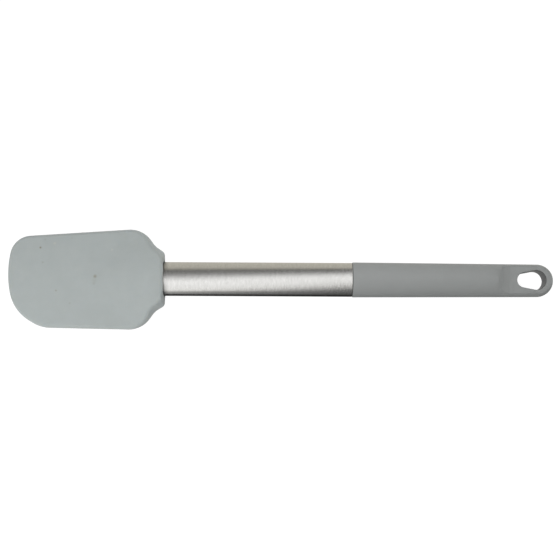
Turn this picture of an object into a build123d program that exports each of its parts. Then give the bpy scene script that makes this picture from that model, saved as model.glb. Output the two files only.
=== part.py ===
from build123d import *
from math import radians, tan
import os

# A silicone spatula: overmoulded head, stiffening core, stainless tube and moulded grip.
# Millimetres. +X runs along the tool from the head to the grip, +Z is up as it lies on a
# table, and the origin is the middle of its footprint on the table. The photographed side
# is the upper one.

os.makedirs("parts", exist_ok=True)

# Layout along the tool
head_length = 92.9
tube_exposed = 110.3
grip_length = 118.2

# Stainless tube
tube_diameter = 20.0
tube_wall = 0.6
tube_edge_break = 0.2
socket_depth = 8.0  # how far the tube runs into the collar of the head

# Outline of the head: setbacks from the end of its collar, half widths from the tube axis
collar_end_half_width = 15.5
neck_setback = 5.8
neck_half_width = 19.0
shoulder_setback = 13.8
shoulder_half_width = 29.8
lower_fullness = 0.4  # how much further out the lower neck and shoulder stand
lower_shoulder_setback = 13.2
upper_side_angle = 3.85
lower_side_angle = 0.95
sweep_length = 19.9  # the swept corner of the lower side, along the tool
sweep_tip_share = 0.563  # of the lower half width, where its line would reach the tip
front_radius = 59.5
front_offset = 3.8
neck_radius = 11.2
shoulder_radius = 15.0
sweep_start_radius = 21.0
sweep_end_radius = 25.0
upper_corner_radius = 12.6

# Thickness of the head
collar_height = 23.2
side_draft = 16.5
collar_corner_radius = 2.8
rim_bevel = 1.0
mouth_chamfer = 0.2

# Stiffening core
core_margin = 10.0  # soft silicone left around the paddle
paddle_thickness = 2.0
key_hole_diameter = 6.0
key_hole_pitch = 16.0
key_hole_setback = 7.0  # from the front of the paddle to the first column of holes
key_hole_columns = 2
key_hole_rows = 2
web_length = 32.0
web_thickness = 3.0
web_root_height = 8.4  # above and below the mid plane, at the flange
web_tip_height = 1.6
flange_thickness = 2.0
plug_length = 26.0
plug_bore_diameter = 11.0
plug_bore_depth = 22.0

# Press fits in the tube, shared by the plug and the spigot
press_gap = 0.15
rib_width = 1.4
rib_count = 6
lead_in = 0.8

# Grip
grip_front_diameter = 20.6
grip_end_diameter = 19.2
grip_front_break = 0.3
spigot_length = 24.0
grip_bore_diameter = 12.0
grip_bore_end_wall = 38.0  # solid plastic left between the bore and the end of the grip

# Hanging eye
eye_thickness = 11.4
eye_land_length = 24.8  # flat lands, from the end of the grip to the foot of the ramp
eye_ramp_radius = 12.0
eye_wide_radius = 5.7
eye_narrow_radius = 4.4
eye_spread = 6.9  # between the centres of its two ends
eye_end_wall = 5.0
eye_edge_bevel = 0.3

overrun = 4.0  # how far cutting and intersecting shapes run past what they cut

# Planes and stations that every piece is placed by
overall_length = head_length + tube_exposed + grip_length
tube_radius = tube_diameter / 2
tube_bore_radius = tube_radius - tube_wall
collar_half_height = collar_height / 2
tip_x = -overall_length / 2
collar_x = tip_x + head_length
grip_x = collar_x + tube_exposed
end_x = grip_x + grip_length

# The outline is drawn once about the tube axis, to find how far the axis stands from the
# middle of the head's width
side_run = head_length + front_radius
upper_drop = (side_run - shoulder_setback) * tan(radians(upper_side_angle))
lower_half_width = shoulder_half_width + lower_fullness
lower_run = head_length - sweep_length - lower_shoulder_setback
sweep_half_width = lower_half_width - lower_run * tan(radians(lower_side_angle))
sweep_slope = (sweep_half_width - sweep_tip_share * lower_half_width) / sweep_length
sweep_rise = (front_radius + sweep_length) * sweep_slope
neck_slope = (neck_half_width - collar_end_half_width) / neck_setback
upper_neck = (collar_x - neck_setback, neck_half_width)
lower_neck = (collar_x - neck_setback, -neck_half_width - lower_fullness)
upper_shoulder = (collar_x - shoulder_setback, shoulder_half_width)
lower_shoulder = (collar_x - lower_shoulder_setback, -lower_half_width)
sweep_corner = (tip_x + sweep_length, -sweep_half_width)

with BuildSketch() as outline:
    with BuildLine():
        Polyline(
            (collar_x + overrun, collar_end_half_width - overrun * neck_slope),
            upper_neck,
            upper_shoulder,
            (collar_x - side_run, shoulder_half_width - upper_drop),
            (collar_x - side_run, sweep_rise - sweep_half_width),
            sweep_corner,
            lower_shoulder,
            lower_neck,
            (collar_x + overrun, overrun * neck_slope - collar_end_half_width - lower_fullness),
            close=True,
        )
    make_face()
    with Locations((tip_x + front_radius, front_offset)):
        Circle(front_radius, mode=Mode.INTERSECT)
    for corner, radius in (
        (upper_neck, neck_radius),
        (lower_neck, neck_radius),
        (upper_shoulder, shoulder_radius),
        (lower_shoulder, shoulder_radius),
        (sweep_corner, sweep_start_radius),
        ((tip_x, shoulder_half_width), upper_corner_radius),
        ((tip_x, -lower_half_width), sweep_end_radius),
    ):
        fillet(outline.vertices().sort_by_distance(corner)[0], radius)

outline_box = outline.sketch.bounding_box()
axis_y = -(outline_box.min.Y + outline_box.max.Y) / 2
axis_z = collar_half_height
mid_plane = Plane(origin=(0, axis_y, axis_z))
side_plane = Plane(origin=(0, axis_y, axis_z), x_dir=(1, 0, 0), z_dir=(0, -1, 0))
tool_axis = Axis((0, axis_y, axis_z), (1, 0, 0))

# Thickness of the head, station by station from its collar to its tip: the setback as a
# share of the head's length, then the crest, the lens under it and the rim as shares of the
# collar's half height, and the half width of the boss as a share of the shoulder's
thickness_shares = (
    (-0.04, 1.000, 0.380, 0.175, 1.26),
    (0.00, 1.000, 0.375, 0.172, 1.26),
    (0.095, 0.978, 0.365, 0.166, 1.24),
    (0.17, 0.875, 0.357, 0.160, 1.04),
    (0.25, 0.712, 0.350, 0.154, 0.78),
    (0.34, 0.555, 0.340, 0.147, 0.55),
    (0.43, 0.432, 0.328, 0.141, 0.40),
    (0.52, 0.350, 0.313, 0.134, 0.32),
    (0.66, 0.282, 0.282, 0.124, 0.30),
    (0.82, 0.222, 0.222, 0.116, 0.30),
    (1.00, 0.146, 0.146, 0.106, 0.30),
    (1.05, 0.130, 0.130, 0.102, 0.30),
)
across_shares = (0.16, 0.36, 0.62, 1.0)
slab_half_width = lower_half_width + overrun


def thickness_section(station_share, crest_share, lens_share, rim_share, boss_share):
    """Cross-section of the head's thickness: a lens with a rounded boss along its middle."""
    rim = rim_share * collar_half_height
    lens = lens_share * collar_half_height
    boss = crest_share * collar_half_height - lens
    boss_half_width = boss_share * shoulder_half_width
    half = []
    for share in across_shares:
        across = share * slab_half_width
        spread = min(across / boss_half_width, 1)
        height = rim + (lens - rim) * (1 - share**2) + boss * (1 - spread**2) ** 2
        half.append((across, height))
    upper = [(-y, z) for y, z in reversed(half)] + [(0, lens + boss)] + half
    lower = [(y, -z) for y, z in reversed(upper)]
    plane = Plane(
        origin=(collar_x - station_share * head_length, axis_y, axis_z),
        x_dir=(0, 1, 0),
        z_dir=(1, 0, 0),
    )
    with BuildSketch(plane) as section:
        with BuildLine():
            Spline(*upper)
            Line(upper[-1], lower[0])
            Spline(*lower)
            Line(lower[-1], upper[0])
        make_face()
    return section.sketch


def cross_plane(station):
    """Plane square to the tube axis, facing the grip, with its first direction across."""
    return Plane(origin=(station, axis_y, axis_z), x_dir=(0, 1, 0), z_dir=(1, 0, 0))


# Straight stainless tube, square at both ends, with its outer edges broken
tube_start_x = collar_x - socket_depth

with BuildPart() as steel_tube:
    with BuildSketch(cross_plane(tube_start_x)):
        Circle(tube_radius)
        Circle(tube_bore_radius, mode=Mode.SUBTRACT)
    extrude(amount=grip_x - tube_start_x)
    rims = steel_tube.edges().filter_by(GeomType.CIRCLE).group_by(SortBy.RADIUS)[-1]
    chamfer(rims, tube_edge_break)


def crush_rib_section():
    """Section of a plug whose ribs bridge the press gap to the bore of the tube."""
    with BuildSketch() as section:
        with PolarLocations(press_radius, rib_count):
            Rectangle(rib_width, rib_width)
        Circle(tube_bore_radius, mode=Mode.INTERSECT)
    return section.sketch


press_radius = tube_bore_radius - press_gap

# Stiffening core: paddle with keying holes, tapered web, flange for the tube, ribbed plug
flange_x = tube_start_x - flange_thickness
web_tip_x = flange_x - web_length
plug_end_x = tube_start_x + plug_length
paddle_front_x = tip_x + core_margin
key_hole_x = paddle_front_x + key_hole_setback + (key_hole_columns - 1) * key_hole_pitch / 2

with BuildPart() as blade_core:
    with BuildSketch(mid_plane):
        add(outline.sketch)
        offset(amount=-core_margin, kind=Kind.INTERSECTION, mode=Mode.REPLACE)
        split(bisect_by=Plane.YZ.offset(flange_x), keep=Keep.BOTTOM)
        with Locations((key_hole_x, 0)):
            with GridLocations(key_hole_pitch, key_hole_pitch, key_hole_columns, key_hole_rows):
                Circle(key_hole_diameter / 2, mode=Mode.SUBTRACT)
    extrude(amount=paddle_thickness / 2, both=True)
    with BuildSketch(side_plane):
        with BuildLine():
            Polyline(
                (flange_x, 0),
                (web_tip_x, 0),
                (web_tip_x, web_tip_height),
                (flange_x, web_root_height),
                close=True,
            )
        make_face()
        mirror(about=Plane.XZ)
    extrude(amount=web_thickness / 2, both=True)
    with BuildSketch(side_plane):
        with BuildLine():
            Polyline(
                (flange_x, 0),
                (flange_x, tube_radius),
                (tube_start_x, tube_radius),
                (tube_start_x, press_radius),
                (plug_end_x - lead_in, press_radius),
                (plug_end_x, press_radius - lead_in),
                (plug_end_x, 0),
                close=True,
            )
        make_face()
    revolve(axis=tool_axis)
    with BuildSketch(cross_plane(tube_start_x)):
        add(crush_rib_section())
    extrude(amount=plug_length - lead_in)
    with Locations(cross_plane(plug_end_x)):
        Hole(plug_bore_diameter / 2, depth=plug_bore_depth)

# Silicone head: the upper half with its drafted sides, crowned face and bevelled rim, its
# mirror image below the parting line, and the space that the core and the tube take
with BuildPart() as silicone_head:
    with BuildSketch(mid_plane):
        add(outline.sketch)
    extrude(amount=collar_half_height + overrun)
    draft(silicone_head.faces().filter_by(Axis.Z, reverse=True), mid_plane, side_draft)
    loft([thickness_section(*shares) for shares in thickness_shares], mode=Mode.INTERSECT)
    split(bisect_by=Plane.YZ.offset(collar_x), keep=Keep.BOTTOM)
    collar_end = silicone_head.faces().sort_by(Axis.X)[-1]
    fillet(collar_end.edges().group_by(Axis.Y)[0], collar_corner_radius)
    collar_end = silicone_head.faces().sort_by(Axis.X)[-1]
    fillet(collar_end.edges().group_by(Axis.Y)[-1], collar_corner_radius)
    crowned_face = silicone_head.faces().filter_by(GeomType.BSPLINE).sort_by(SortBy.AREA)[-1]
    chamfer(crowned_face.edges(), rim_bevel)
    mirror(about=mid_plane)
    with BuildSketch(cross_plane(collar_x)):
        Circle(tube_radius)
    extrude(amount=-socket_depth, mode=Mode.SUBTRACT)
    add(blade_core.part, mode=Mode.SUBTRACT)
    mouth = silicone_head.edges().filter_by(GeomType.CIRCLE).group_by(Axis.X)[-1]
    chamfer(mouth, mouth_chamfer)

# Grip: a tapered round moulding with a ribbed spigot, cored out from the spigot's end
spigot_tip_x = grip_x - spigot_length
grip_front_radius = grip_front_diameter / 2
grip_end_radius = grip_end_diameter / 2
grip_bore_end_x = end_x - grip_bore_end_wall
grip_bore_radius = grip_bore_diameter / 2
eye_half_thickness = eye_thickness / 2
eye_foot_x = end_x - eye_land_length
eye_x = end_x - eye_end_wall - eye_wide_radius

with BuildPart() as handle:
    with BuildSketch(side_plane):
        with BuildLine():
            Polyline(
                (end_x, 0),
                (grip_bore_end_x, 0),
                (grip_bore_end_x, grip_bore_radius),
                (spigot_tip_x, grip_bore_radius),
                (spigot_tip_x, press_radius - lead_in),
                (spigot_tip_x + lead_in, press_radius),
                (grip_x, press_radius),
                (grip_x, grip_front_radius - grip_front_break),
                (grip_x + grip_front_break, grip_front_radius),
                (end_x - grip_end_radius, grip_end_radius),
            )
            CenterArc((end_x - grip_end_radius, 0), grip_end_radius, 0, 90)
        make_face()
    revolve(axis=tool_axis)
    with BuildSketch(cross_plane(grip_x)):
        add(crush_rib_section())
        Circle(press_radius - lead_in, mode=Mode.SUBTRACT)
    extrude(amount=lead_in - spigot_length)
    with BuildSketch(side_plane):
        with BuildLine():
            Polyline(
                (eye_foot_x, eye_half_thickness),
                (end_x + overrun, eye_half_thickness),
                (end_x + overrun, eye_half_thickness + eye_ramp_radius),
                (eye_foot_x - eye_ramp_radius, eye_half_thickness + eye_ramp_radius),
            )
            CenterArc((eye_foot_x, eye_half_thickness + eye_ramp_radius), eye_ramp_radius, 180, 90)
        make_face()
        mirror(about=Plane.XZ)
    extrude(amount=grip_front_radius + overrun, both=True, mode=Mode.SUBTRACT)
    with BuildSketch(mid_plane):
        with Locations((eye_x, 0)):
            Circle(eye_wide_radius)
        with Locations((eye_x - eye_spread, 0)):
            Circle(eye_narrow_radius)
        make_hull()
    extrude(amount=eye_thickness, both=True, mode=Mode.SUBTRACT)
    lands = handle.faces().filter_by(Plane.XY).sort_by(SortBy.AREA)[-2:]
    chamfer([land.inner_wires()[0].edges() for land in lands], eye_edge_bevel)

for piece, name in (
    (silicone_head, "silicone_head"),
    (blade_core, "blade_core"),
    (steel_tube, "steel_tube"),
    (handle, "handle"),
):
    piece.part.label = name
    export_step(piece.part, f"parts/{name}.step")
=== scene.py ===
from math import cos, pi, radians, sin, tan

import bmesh
import bpy
from mathutils import Matrix, Vector


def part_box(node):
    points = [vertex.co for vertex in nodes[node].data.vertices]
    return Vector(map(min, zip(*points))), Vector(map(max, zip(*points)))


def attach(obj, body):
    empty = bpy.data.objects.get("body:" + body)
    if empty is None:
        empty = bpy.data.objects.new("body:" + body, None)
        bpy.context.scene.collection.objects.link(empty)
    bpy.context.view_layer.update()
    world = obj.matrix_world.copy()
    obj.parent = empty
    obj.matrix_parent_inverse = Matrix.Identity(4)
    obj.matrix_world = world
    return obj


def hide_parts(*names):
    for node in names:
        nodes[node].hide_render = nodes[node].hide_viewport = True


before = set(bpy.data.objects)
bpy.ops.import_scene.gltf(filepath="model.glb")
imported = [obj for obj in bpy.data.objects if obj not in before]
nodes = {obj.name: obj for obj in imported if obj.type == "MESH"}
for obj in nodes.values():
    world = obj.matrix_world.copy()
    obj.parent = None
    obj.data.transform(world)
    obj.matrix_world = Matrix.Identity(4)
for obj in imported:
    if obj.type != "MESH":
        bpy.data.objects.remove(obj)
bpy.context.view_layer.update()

# Stainless tube. The real piece is a length of 20 mm welded and drawn tube with a fine
# satin finish, cut square, its edges tumbled round. Its ends are pressed over the plug of
# the stiffening core and the spigot of the grip.
collection = bpy.context.scene.collection
tube_low, tube_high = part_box("steel_tube")
tube_middle = (tube_low + tube_high) / 2
tube_radius = (tube_high.z - tube_low.z) / 2
tube_wall = 0.0006
tube_edge_radius = 0.00025
tube_sides = 160
tube_edge_steps = 4
tube_reveal = 0.00025  # the fine groove that is left between the tube and the grip

steel_darker = (0.56, 0.555, 0.54)
steel_lighter = (0.72, 0.715, 0.705)
steel_roughness = (0.20, 0.26)
steel_grain_scale = (2600, 420, 420)  # along the tube, and the two ways across it
steel_streak_scale = (1000, 300, 300)
steel_grain_depth = 0.00003
noise_range = (0.3, 0.7)  # nearly all values of a noise lie in it
collar_shade_distance = 0.0035
collar_shade_strength = 1.8


def joined(tree, node, values):
    """Sets each named socket of a node to a value, or links it to the output given for it."""
    for socket, value in values.items():
        if isinstance(value, bpy.types.NodeSocket):
            tree.links.new(value, node.inputs[socket])
        else:
            node.inputs[socket].default_value = value
    return node


def add_node(tree, kind, values=None, operation=None, data_type=None):
    """A new node, with its way of working and its sockets set."""
    node = tree.nodes.new(kind)
    if operation:
        node.operation = operation
    if data_type:
        node.data_type = data_type
    return joined(tree, node, values or {})


def maths(tree, operation, *values):
    """The result of a sum, a comparison or another operation on numbers and outputs."""
    return add_node(tree, "ShaderNodeMath", dict(enumerate(values)), operation=operation).outputs[0]


def rescaled(tree, value, from_range=(0.0, 1.0), to_range=(0.0, 1.0), eased=False):
    """A value carried from one range to another and kept inside it, along a line or eased."""
    node = tree.nodes.new("ShaderNodeMapRange")
    if eased:
        node.interpolation_type = "SMOOTHSTEP"
    values = {
        "Value": value,
        "From Min": from_range[0],
        "From Max": from_range[1],
        "To Min": to_range[0],
        "To Max": to_range[1],
    }
    return joined(tree, node, values).outputs["Result"]


def mixed(tree, share, first, second):
    """A colour between two others, each of them an output or three numbers."""
    values = {"Factor": share}
    for socket, colour in (("A", first), ("B", second)):
        values[socket] = colour if isinstance(colour, bpy.types.NodeSocket) else (*colour, 1)
    return add_node(tree, "ShaderNodeMix", values, data_type="RGBA").outputs["Result"]


def node_group(name, kind, inputs, outputs):
    """An empty node group with named sockets, the values given to it, and its output node."""
    tree = bpy.data.node_groups.new(name, kind)
    for socket_name, (socket_type, value) in inputs.items():
        socket = tree.interface.new_socket(name=socket_name, in_out="INPUT", socket_type=socket_type)
        if value is not None:
            socket.default_value = value
    for socket_name, socket_type in outputs.items():
        tree.interface.new_socket(name=socket_name, in_out="OUTPUT", socket_type=socket_type)
    return tree, tree.nodes.new("NodeGroupInput").outputs, tree.nodes.new("NodeGroupOutput")


def use_group(tree, group, values):
    """The outputs of a shader node group that is placed in a tree with its own values."""
    node = tree.nodes.new("ShaderNodeGroup")
    node.node_tree = group
    return joined(tree, node, values).outputs


def drawn_tube_tree():
    """Nodes that carry a rounded section of the tube wall round the axis of the tube."""
    tree, given, made = node_group(
        "drawn tube",
        "GeometryNodeTree",
        {
            "Length": ("NodeSocketFloat", 0.1),
            "Outer Radius": ("NodeSocketFloat", 0.01),
            "Wall": ("NodeSocketFloat", 0.001),
            "Edge Radius": ("NodeSocketFloat", 0.0002),
            "Sides": ("NodeSocketInt", 64),
            "Edge Steps": ("NodeSocketInt", 3),
            "Middle": ("NodeSocketVector", None),
            "Finish": ("NodeSocketMaterial", None),
        },
        {"Geometry": "NodeSocketGeometry"},
    )
    half_wall = maths(tree, "MULTIPLY", given["Wall"], 0.5)
    middle_radius = maths(tree, "SUBTRACT", given["Outer Radius"], half_wall)
    ring = add_node(
        tree, "GeometryNodeCurvePrimitiveCircle", {"Resolution": given["Sides"], "Radius": middle_radius}
    )
    section = add_node(
        tree, "GeometryNodeCurvePrimitiveQuadrilateral", {"Width": given["Wall"], "Height": given["Length"]}
    )
    rounded = tree.nodes.new("GeometryNodeFilletCurve")
    rounded.mode = "POLY"
    joined(
        tree,
        rounded,
        {"Curve": section.outputs["Curve"], "Radius": given["Edge Radius"], "Count": given["Edge Steps"]},
    )
    swept = add_node(
        tree,
        "GeometryNodeCurveToMesh",
        {"Curve": ring.outputs["Curve"], "Profile Curve": rounded.outputs["Curve"]},
    )
    laid = add_node(
        tree,
        "GeometryNodeTransform",
        {
            "Geometry": swept.outputs["Mesh"],
            "Translation": given["Middle"],
            "Rotation": (0, radians(90), 0),
        },
    )
    realized = add_node(tree, "GeometryNodeRealizeInstances", {"Geometry": laid.outputs["Geometry"]})
    smooth = add_node(tree, "GeometryNodeSetShadeSmooth", {"Geometry": realized.outputs["Geometry"]})
    finished = add_node(
        tree,
        "GeometryNodeSetMaterial",
        {"Geometry": smooth.outputs["Geometry"], "Material": given["Finish"]},
    )
    joined(tree, made, {"Geometry": finished.outputs["Geometry"]})
    return tree


def grown(name, tree, values):
    """A plain mesh object that a node tree makes from named values."""
    blank = bpy.data.objects.new(name + "_blank", bpy.data.meshes.new(name + "_blank"))
    collection.objects.link(blank)
    modifier = blank.modifiers.new("grown", "NODES")
    modifier.node_group = tree
    for socket in tree.interface.items_tree:
        if socket.name in values:
            modifier[socket.identifier] = values[socket.name]
    shading = blank.modifiers.new("shading", "WEIGHTED_NORMAL")
    depsgraph = bpy.context.evaluated_depsgraph_get()
    mesh = bpy.data.meshes.new_from_object(blank.evaluated_get(depsgraph))
    blank.modifiers.remove(shading)
    blank.modifiers.remove(modifier)
    bpy.data.objects.remove(blank)
    piece = bpy.data.objects.new(name, mesh)
    collection.objects.link(piece)
    return piece


def new_material(name):
    """A material and its empty node tree."""
    material = bpy.data.materials.new(name)
    material.use_nodes = True
    material.node_tree.nodes.clear()
    return material, material.node_tree


def show(tree, shader):
    """Makes a shader the surface of its material."""
    add_node(tree, "ShaderNodeOutputMaterial", {"Surface": shader.outputs[0]})


def crevice_shade_group():
    """Darkens a colour in narrow gaps and deep holes, where little light comes in."""
    tree, given, made = node_group(
        "crevice shade",
        "ShaderNodeTree",
        {
            "Color": ("NodeSocketColor", None),
            "Distance": ("NodeSocketFloat", 0.003),
            "Strength": ("NodeSocketFloat", 0.5),
        },
        {"Color": "NodeSocketColor"},
    )
    openness = add_node(tree, "ShaderNodeAmbientOcclusion", {"Distance": given["Distance"]})
    openness.samples = 12
    closed = maths(tree, "SUBTRACT", 1.0, openness.outputs["AO"])
    amount = maths(tree, "MULTIPLY", closed, given["Strength"])
    joined(tree, made, {"Color": mixed(tree, amount, given["Color"], (0, 0, 0))})
    return tree


crevice_shade = crevice_shade_group()


def stretched_noise(tree, place, scale, detail):
    """Noise with its own scale each way, as a ground surface has."""
    stretched = add_node(tree, "ShaderNodeMapping", {"Vector": place, "Scale": scale})
    return add_node(
        tree,
        "ShaderNodeTexNoise",
        {"Vector": stretched.outputs["Vector"], "Scale": 1.0, "Detail": detail, "Roughness": 0.6},
    ).outputs["Fac"]


def satin_steel():
    """Satin stainless: fine grain and short streaks round the tube, dim in the collar's mouth."""
    material, tree = new_material("satin stainless")
    place = add_node(tree, "ShaderNodeTexCoord").outputs["Object"]
    grain = stretched_noise(tree, place, steel_grain_scale, detail=4.0)
    streak = stretched_noise(tree, place, steel_streak_scale, detail=3.0)
    roughness = rescaled(tree, grain, noise_range, steel_roughness)
    colour = mixed(tree, streak, steel_darker, steel_lighter)
    height = maths(tree, "ADD", grain, streak)
    bump = add_node(
        tree, "ShaderNodeBump", {"Strength": 1.0, "Distance": steel_grain_depth, "Height": height}
    )
    spot = add_node(tree, "ShaderNodeSeparateXYZ", {"Vector": place})
    on_head_side = maths(tree, "LESS_THAN", spot.outputs["X"], 0.0)
    strength = maths(tree, "MULTIPLY", on_head_side, collar_shade_strength)
    shaded = use_group(
        tree, crevice_shade, {"Color": colour, "Distance": collar_shade_distance, "Strength": strength}
    )
    shader = add_node(
        tree,
        "ShaderNodeBsdfPrincipled",
        {
            "Base Color": shaded["Color"],
            "Metallic": 1.0,
            "Roughness": roughness,
            "Normal": bump.outputs["Normal"],
        },
    )
    show(tree, shader)
    return material


tube = grown(
    "steel_tube_wall",
    drawn_tube_tree(),
    {
        "Length": tube_high.x - tube_low.x - tube_reveal,
        "Outer Radius": tube_radius,
        "Wall": tube_wall,
        "Edge Radius": tube_edge_radius,
        "Sides": tube_sides,
        "Edge Steps": tube_edge_steps,
        "Middle": tube_middle - Vector((tube_reveal / 2, 0, 0)),
        "Finish": satin_steel(),
    },
)
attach(tube, "root")
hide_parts("steel_tube")

# Stiffening core. The real piece is moulded in glass-filled nylon and is hidden by the
# silicone that is moulded over it and by the tube that is pressed on its plug.
nylon_darker = (0.60, 0.58, 0.52)
nylon_lighter = (0.66, 0.64, 0.58)
moulded_roughness = 0.5
moulded_roughness_change = 0.05  # either way, with the slow mottling
moulded_grain_depth = 0.00003


def moulded_grain_group():
    """Fine grain and slow mottling of a moulded surface, for every moulded material."""
    tree, given, made = node_group(
        "moulded grain",
        "ShaderNodeTree",
        {
            "Vector": ("NodeSocketVector", None),
            "Grain Scale": ("NodeSocketFloat", 2500.0),
            "Mottle Scale": ("NodeSocketFloat", 120.0),
        },
        {"Height": "NodeSocketFloat", "Mottle": "NodeSocketFloat"},
    )
    grain = add_node(
        tree, "ShaderNodeTexNoise", {"Vector": given["Vector"], "Scale": given["Grain Scale"], "Detail": 3.0}
    )
    mottle = add_node(
        tree,
        "ShaderNodeTexNoise",
        {"Vector": given["Vector"], "Scale": given["Mottle Scale"], "Detail": 4.0, "Roughness": 0.6},
    )
    joined(tree, made, {"Height": grain.outputs["Fac"], "Mottle": mottle.outputs["Fac"]})
    return tree


moulded_grain = moulded_grain_group()


def moulded_plastic(name, darker, lighter, grain_scale, hole=None):
    """A moulded plastic with a fine grain and a slow change of shade. A hole through it is given
    as the group that masks its wall, the values for that group, and the dark colour painted on
    the wall as shade."""
    material, tree = new_material(name)
    place = add_node(tree, "ShaderNodeTexCoord").outputs
    grain = use_group(tree, moulded_grain, {"Vector": place["Object"], "Grain Scale": grain_scale})
    colour = mixed(tree, grain["Mottle"], darker, lighter)
    # Painted shade: the walls of a hole are coloured dark, as if light hardly reached them.
    if hole:
        wall_group, box, wall_painted_shade = hole
        inside = use_group(tree, wall_group, {"Vector": place["Object"], "Normal": place["Normal"], **box})
        colour = mixed(tree, inside["Mask"], colour, wall_painted_shade)
    shaded = use_group(tree, crevice_shade, {"Color": colour, "Distance": 0.003, "Strength": 0.5})
    smoothest = moulded_roughness - moulded_roughness_change
    roughest = moulded_roughness + moulded_roughness_change
    roughness = rescaled(tree, grain["Mottle"], to_range=(smoothest, roughest))
    bump = add_node(
        tree,
        "ShaderNodeBump",
        {"Strength": 0.35, "Distance": moulded_grain_depth, "Height": grain["Height"]},
    )
    shader = add_node(
        tree,
        "ShaderNodeBsdfPrincipled",
        {"Base Color": shaded["Color"], "Roughness": roughness, "Normal": bump.outputs["Normal"]},
    )
    show(tree, shader)
    return material


def finish_in(piece, material):
    """Gives a piece its one material."""
    piece.data.materials.clear()
    piece.data.materials.append(material)


finish_in(
    nodes["blade_core"],
    moulded_plastic("glass filled nylon", nylon_darker, nylon_lighter, grain_scale=1800.0),
)

# Silicone head. The real piece is a soft silicone blade moulded over the core in a two-part
# mould, matt, with rounded lips and a collar whose mouth grips the tube.
head_voxel = 0.00047
head_smoothing = 3
silicone_darker = (0.373, 0.407, 0.404)
silicone_lighter = (0.421, 0.455, 0.450)
silicone_roughness = (0.58, 0.70)
# Painted highlight: convex lips are coloured lighter, standing in for light caught on their rounded edges.
lip_highlight_colour = (0.47, 0.48, 0.44)
lip_highlight_strength = 0.6
lip_highlight_pointiness = (0.52, 0.58)  # where a lip starts to show, and where it shows in full
stain_colour = (0.16, 0.12, 0.035)
stains = (  # place, radius and strength of each
    (-0.1414, 0.0184, 0.0140, 0.0010, 0.70),
    (-0.1315, -0.0070, 0.0145, 0.0009, 0.45),
    (-0.1398, 0.0096, 0.0143, 0.0009, 0.25),
    (-0.1388, 0.0232, 0.0140, 0.0010, 0.20),
    (-0.1229, 0.0242, 0.0145, 0.0010, 0.15),
    (-0.1233, -0.0145, 0.0148, 0.0009, 0.20),
    (-0.1084, 0.0013, 0.0164, 0.0017, 0.45),
    (-0.1088, -0.0013, 0.0164, 0.0024, 0.10),
    (-0.1091, -0.0030, 0.0163, 0.0013, 0.15),
)


def merged(node_name, name):
    """A copy of a node's solid shape whose faces share their corners."""
    form = bmesh.new()
    form.from_mesh(nodes[node_name].data)
    bmesh.ops.remove_doubles(form, verts=form.verts, dist=1e-7)
    mesh = bpy.data.meshes.new(name)
    form.to_mesh(mesh)
    form.free()
    return mesh


def softened(node_name, name, voxel, passes):
    """A moulded skin with rounded edges, made from a node's solid shape."""
    mesh = merged(node_name, name + "_form")
    form_body = bpy.data.objects.new(name + "_form", mesh)
    skin_body = bpy.data.objects.new(name + "_skin", mesh)
    collection.objects.link(form_body)
    collection.objects.link(skin_body)
    skin = skin_body.modifiers.new("skin", "REMESH")
    skin.mode = "VOXEL"
    skin.voxel_size = voxel
    snug = skin_body.modifiers.new("snug", "SHRINKWRAP")
    snug.target = form_body
    rounding = skin_body.modifiers.new("rounding", "SMOOTH")
    rounding.factor = 0.5
    rounding.iterations = passes
    depsgraph = bpy.context.evaluated_depsgraph_get()
    final = bpy.data.meshes.new_from_object(skin_body.evaluated_get(depsgraph))
    for body in (skin_body, form_body):
        bpy.data.objects.remove(body)
    for face in final.polygons:
        face.use_smooth = True
    piece = bpy.data.objects.new(name, final)
    collection.objects.link(piece)
    return piece


def lean_back(piece, end, middle, depth, angle, turn, near, far, rolled_from, roll):
    """Leans the sides of an end face back above and below its middle, turns its far side back,
    and rolls its rims. The lean grows from near to far aside, and ends at a depth from the end."""
    for vertex in piece.data.vertices:
        along = max(0.0, 1 - (end - vertex.co.x) / depth)
        aside = min(1.0, max(0.0, (abs(vertex.co.y - middle.y) - near) / (far - near)))
        share = along * aside**2 * (3 - 2 * aside)
        vertex.co.x -= abs(vertex.co.z - middle.z) * tan(radians(angle)) * share
        vertex.co.x -= max(0.0, vertex.co.y - middle.y) * tan(radians(turn)) * along
        vertex.co.x -= max(0.0, abs(vertex.co.z - middle.z) - rolled_from) * roll * along


def matt_silicone():
    """Matt pale silicone, slightly translucent, with a painted highlight on its lips and small brown stains.
    """
    material, tree = new_material("matt silicone")
    place = add_node(tree, "ShaderNodeTexCoord").outputs["Object"]
    grain = use_group(tree, moulded_grain, {"Vector": place, "Grain Scale": 1500.0, "Mottle Scale": 160.0})
    colour = mixed(tree, grain["Mottle"], silicone_darker, silicone_lighter)
    for *spot, radius, strength in stains:
        away = add_node(tree, "ShaderNodeVectorMath", {0: place, 1: spot}, operation="DISTANCE")
        faded = rescaled(tree, away.outputs["Value"], (radius, 0.0), (0.0, strength), eased=True)
        colour = mixed(tree, faded, colour, stain_colour)
    # Painted highlight on the sharpest edges, where light catches the rounded lips.
    pointiness = add_node(tree, "ShaderNodeNewGeometry").outputs["Pointiness"]
    lip = rescaled(tree, pointiness, lip_highlight_pointiness, (0.0, lip_highlight_strength))
    colour = mixed(tree, lip, colour, lip_highlight_colour)
    shaded = use_group(tree, crevice_shade, {"Color": colour, "Distance": 0.0018, "Strength": 0.9})
    bump = add_node(
        tree, "ShaderNodeBump", {"Strength": 0.4, "Distance": 0.00004, "Height": grain["Height"]}
    )
    shader = add_node(
        tree,
        "ShaderNodeBsdfPrincipled",
        {
            "Base Color": shaded["Color"],
            "Roughness": rescaled(tree, grain["Mottle"], to_range=silicone_roughness),
            "Normal": bump.outputs["Normal"],
            "Subsurface Weight": 0.5,
            "Subsurface Radius": (0.0012, 0.0011, 0.0009),
            "Subsurface Scale": 1.0,
        },
    )
    show(tree, shader)
    return material


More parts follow.
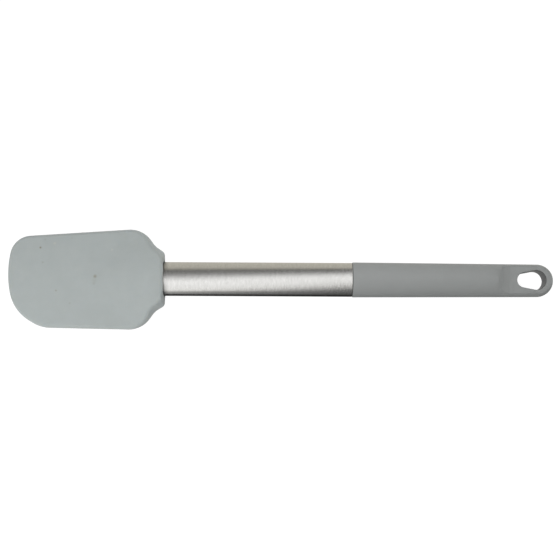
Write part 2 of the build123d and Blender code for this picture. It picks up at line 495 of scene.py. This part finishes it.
head = softened("silicone_head", "silicone_blade", head_voxel, head_smoothing)
lean_back(
    head,
    end=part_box("silicone_head")[1].x,
    middle=tube_middle,
    depth=0.004,
    angle=6.5,
    turn=1.6,
    near=0.003,
    far=0.012,
    rolled_from=tube_radius,
    roll=0.8,
)
finish_in(head, matt_silicone())
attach(head, "root")
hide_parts("silicone_head")

# Grip. The real piece is moulded in matt grey plastic, tapered towards its round end, with
# flat lands round a drop-shaped hanging eye, and its ribbed spigot is pressed in the tube.
grip_sharp_angle = 50.0
grip_darker = (0.276, 0.288, 0.285)
grip_lighter = (0.316, 0.328, 0.325)
# Painted shade for the walls inside the eye: this near-black colour stands in for the shadow there.
eye_wall_painted_shade = (0.050, 0.052, 0.052)
eye_from_end = 0.0138
eye_box = {
    "Middle": (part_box("handle")[1].x - eye_from_end, *tube_middle.yz),
    "Half Length": 0.0095,
    "Half Width": 0.0062,
}


def hole_shade_mask_group():
    """A mask of the upright walls inside a box, such as those of an eye through a grip, where shade is
    painted.
    """
    tree, given, made = node_group(
        "hole shade mask",
        "ShaderNodeTree",
        {
            "Vector": ("NodeSocketVector", None),
            "Normal": ("NodeSocketVector", None),
            "Middle": ("NodeSocketVector", None),
            "Half Length": ("NodeSocketFloat", 0.01),
            "Half Width": ("NodeSocketFloat", 0.006),
            "Flat": ("NodeSocketFloat", 0.75),
            "Upright": ("NodeSocketFloat", 0.35),
        },
        {"Mask": "NodeSocketFloat"},
    )
    away = add_node(
        tree, "ShaderNodeVectorMath", {0: given["Vector"], 1: given["Middle"]}, operation="SUBTRACT"
    )
    size = add_node(tree, "ShaderNodeVectorMath", {0: away.outputs["Vector"]}, operation="ABSOLUTE")
    reach = add_node(tree, "ShaderNodeSeparateXYZ", {"Vector": size.outputs["Vector"]}).outputs
    facing = add_node(tree, "ShaderNodeSeparateXYZ", {"Vector": given["Normal"]}).outputs
    mask = rescaled(tree, maths(tree, "ABSOLUTE", facing["Z"]), (given["Flat"], given["Upright"]))
    for way, limit in (("X", "Half Length"), ("Y", "Half Width")):
        mask = maths(tree, "MULTIPLY", mask, maths(tree, "LESS_THAN", reach[way], given[limit]))
    joined(tree, made, {"Mask": mask})
    return tree


def crisp(node_name, name, sharp_angle):
    """A node's own solid shape, shaded smooth except across its sharp edges."""
    mesh = merged(node_name, name + "_form")
    mesh.polygons.foreach_set("use_smooth", [True] * len(mesh.polygons))
    mesh.set_sharp_from_angle(angle=radians(sharp_angle))
    form_body = bpy.data.objects.new(name + "_form", mesh)
    collection.objects.link(form_body)
    shading = form_body.modifiers.new("shading", "WEIGHTED_NORMAL")
    shading.keep_sharp = True
    depsgraph = bpy.context.evaluated_depsgraph_get()
    final = bpy.data.meshes.new_from_object(form_body.evaluated_get(depsgraph))
    bpy.data.objects.remove(form_body)
    piece = bpy.data.objects.new(name, final)
    collection.objects.link(piece)
    return piece


grip = crisp("handle", "moulded_grip", grip_sharp_angle)
# The eye's walls get painted shade through this mask.
eye = (hole_shade_mask_group(), eye_box, eye_wall_painted_shade)
finish_in(
    grip, moulded_plastic("matt grey plastic", grip_darker, grip_lighter, grain_scale=3000.0, hole=eye)
)
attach(grip, "root")
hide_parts("handle")

# Studio. A white sweep lies under the tool, with three soft lights and a pale sky over it. A
# tent of cloth and three cards show only in gloss. The tent is bright overhead and in front,
# dim and then beige behind, and its bright part lies aslant.
sweep_half = 3.0
sweep_height = -0.0001
sweep_glow = 0.97
sweep_tone = (0.8, 0.8, 0.8)
seen_sweep_tone = (0.12, 0.12, 0.12)  # to the camera and gloss, whose white is the glow

tent_radius = 1.0
tent_half_length = 1.5
tent_folds = 48
tent_middle = (-21.0, 174.0)  # degrees round the tool at its middle, and degrees a metre along it
tent_reach = (54.7, -76.0)  # half width of the bright part, in the same way
white, grey, beige = (1.0, 1.0, 1.0), (1.0, 0.995, 0.97), (1.0, 0.965, 0.85)
tent_levels = (  # share of the reach, brightness and tint
    (-2.4, 0.05, white),
    (-1.95, 0.08, white),
    (-1.65, 0.14, white),
    (-1.35, 0.26, white),
    (-1.1, 0.46, grey),
    (-0.85, 1.04, grey),
    (-0.6, 1.26, grey),
    (-0.3, 1.28, white),
    (0.0, 1.20, white),
    (0.25, 1.40, white),
    (0.45, 1.38, white),
    (0.62, 1.10, white),
    (0.82, 0.74, white),
    (1.0, 0.42, white),
    (1.2, 0.26, grey),
    (1.55, 0.17, grey),
    (1.75, 0.46, beige),
    (1.95, 0.61, beige),
    (2.9, 0.66, beige),
)
card_height = 0.0004
card_reach = 1.0
# A painted shadow: the floor strip under the front of the tool is shown dark, but only in gloss.
shade_near, shade_far = -0.004, -0.028  # the strip in front of the tool that its gloss shows dark
shade_glow = 0.03

sky_glow = 0.562
seen_sky_glow = 1.0


def sweep_white():
    """White to the camera and to gloss, and a plain pale floor to the light."""
    material, tree = new_material("white sweep")
    path = add_node(tree, "ShaderNodeLightPath").outputs
    seen = maths(tree, "MAXIMUM", path["Is Camera Ray"], path["Is Glossy Ray"])
    seen = maths(tree, "MAXIMUM", seen, path["Is Transmission Ray"])
    glow = add_node(tree, "ShaderNodeEmission", {"Strength": maths(tree, "MULTIPLY", seen, sweep_glow)})
    matt = add_node(tree, "ShaderNodeBsdfDiffuse", {"Color": mixed(tree, seen, sweep_tone, seen_sweep_tone)})
    show(tree, add_node(tree, "ShaderNodeAddShader", {0: glow.outputs[0], 1: matt.outputs[0]}))
    return material


def tent_cloth():
    """Cloth whose brightness follows the angle round the tool and drifts along it."""
    material, tree = new_material("tent cloth")
    place = add_node(tree, "ShaderNodeTexCoord").outputs["Object"]
    from_axis = add_node(
        tree, "ShaderNodeVectorMath", {0: place, 1: (0, *tube_middle.yz)}, operation="SUBTRACT"
    )
    spot = add_node(tree, "ShaderNodeSeparateXYZ", {"Vector": from_axis.outputs["Vector"]}).outputs
    angle = maths(tree, "ARCTAN2", spot["Y"], spot["Z"])
    middle, reach = (
        maths(tree, "MULTIPLY_ADD", spot["X"], radians(per_metre), radians(at_middle))
        for at_middle, per_metre in (tent_middle, tent_reach)
    )
    share = maths(tree, "DIVIDE", maths(tree, "SUBTRACT", angle, middle), reach)
    first, last = tent_levels[0][0], tent_levels[-1][0]
    placed = rescaled(tree, share, (first, last))
    top = max(level for _, level, _ in tent_levels)
    stops = [
        ((at - first) / (last - first), (*(level / top * part for part in tint), 1))
        for at, level, tint in tent_levels
    ]
    brightness = add_node(tree, "ShaderNodeValToRGB", {"Fac": placed})
    elements = brightness.color_ramp.elements
    elements[0].position, elements[0].color = stops[0]
    elements[1].position, elements[1].color = stops[-1]
    for position, colour in stops[1:-1]:
        elements.new(position).color = colour
    show(tree, add_node(tree, "ShaderNodeEmission", {"Strength": top, "Color": brightness.outputs["Color"]}))
    return material


def painted_shadow_sheet():
    """A painted shadow: nearly black, as dark in gloss as the shadow under the tool."""
    material, tree = new_material("painted shadow")
    show(tree, add_node(tree, "ShaderNodeEmission", {"Strength": shade_glow}))
    return material


def sheet(name, corners, material, only_in_gloss):
    """A flat or folded sheet of the studio."""
    mesh = bpy.data.meshes.new(name)
    faces = [(2 * i, 2 * i + 1, 2 * i + 3, 2 * i + 2) for i in range(len(corners) // 2 - 1)]
    mesh.from_pydata(corners, [], faces)
    mesh.materials.append(material)
    laid_out = bpy.data.objects.new(name, mesh)
    collection.objects.link(laid_out)
    if only_in_gloss:
        laid_out.visible_camera = False
        laid_out.visible_diffuse = False
        laid_out.visible_transmission = False
        laid_out.visible_shadow = False


def soft_light(name, side, middle, share):
    """A square soft light that gives a share of the light on a surface that faces it."""
    light = bpy.data.lights.new(name, "AREA")
    light.shape = "SQUARE"
    light.size = side
    light.energy = share * (pi * Vector(middle).length) ** 2
    lamp = bpy.data.objects.new(name, light)
    lamp.location = middle
    lamp.rotation_euler = (-Vector(middle)).to_track_quat("-Z", "Y").to_euler()
    lamp.visible_camera = False
    lamp.visible_glossy = False
    collection.objects.link(lamp)


sheet(
    "white_sweep",
    [(x, y, sweep_height) for y in (-sweep_half, sweep_half) for x in (-sweep_half, sweep_half)],
    sweep_white(),
    only_in_gloss=False,
)
cloth = tent_cloth()
sheet(
    "gloss_tent",
    [
        (x, tent_radius * sin(turn), tent_radius * cos(turn))
        for turn in (pi * (fold / tent_folds - 0.5) for fold in range(tent_folds + 1))
        for x in (-tent_half_length, tent_half_length)
    ],
    cloth,
    only_in_gloss=True,
)
# The shade card is a painted shadow, which the gloss of the tool shows in place of the shade under it.
for name, near, far, material in (
    ("back_card", -shade_near, card_reach, cloth),
    ("shade_card", shade_near, shade_far, painted_shadow_sheet()),
    ("front_card", shade_far, -card_reach, cloth),
):
    sheet(
        name,
        [(x, y, card_height) for y in (near, far) for x in (-card_reach, card_reach)],
        material,
        only_in_gloss=True,
    )

soft_light("head light", side=0.16, middle=(-0.20, -0.10, 0.20), share=0.288)
soft_light("grip light", side=0.16, middle=(0.05, 0.10, 0.20), share=0.250)
soft_light("end light", side=0.8, middle=(1.2, 0.0, 0.6), share=0.042)

world = bpy.data.worlds.new("studio")
bpy.context.scene.world = world
world.use_nodes = True
sky_path = add_node(world.node_tree, "ShaderNodeLightPath").outputs
sky_level = add_node(
    world.node_tree,
    "ShaderNodeMix",
    {"Factor": sky_path["Is Camera Ray"], "A": sky_glow, "B": seen_sky_glow},
)
joined(
    world.node_tree,
    world.node_tree.nodes["Background"],
    {"Color": (1, 1, 1, 1), "Strength": sky_level.outputs["Result"]},
)

# Camera. It looks down on the tool from 600 mm over its middle and leans a little towards
# its front, with the narrow view of a 65 mm lens.
camera_distance = 0.600
camera_tilt = 5.0
camera_roll = 0.3
view_width_degrees = 30.8
aim = Vector((-0.00010, 0.00011, 0.0116))
camera_data = bpy.data.cameras.new("camera")
camera_data.sensor_width = 36.0
camera_data.lens = camera_data.sensor_width / 2 / tan(radians(view_width_degrees / 2))
camera = bpy.data.objects.new("camera", camera_data)
tilt = Matrix.Rotation(radians(camera_tilt), 4, "X")
stand_off = Matrix.Translation((0, 0, camera_distance))
roll = Matrix.Rotation(radians(camera_roll), 4, "Z")
camera.matrix_world = Matrix.Translation(aim) @ tilt @ stand_off @ roll
collection.objects.link(camera)
bpy.context.scene.camera = camera
bpy.context.scene.view_settings.view_transform = "Standard"
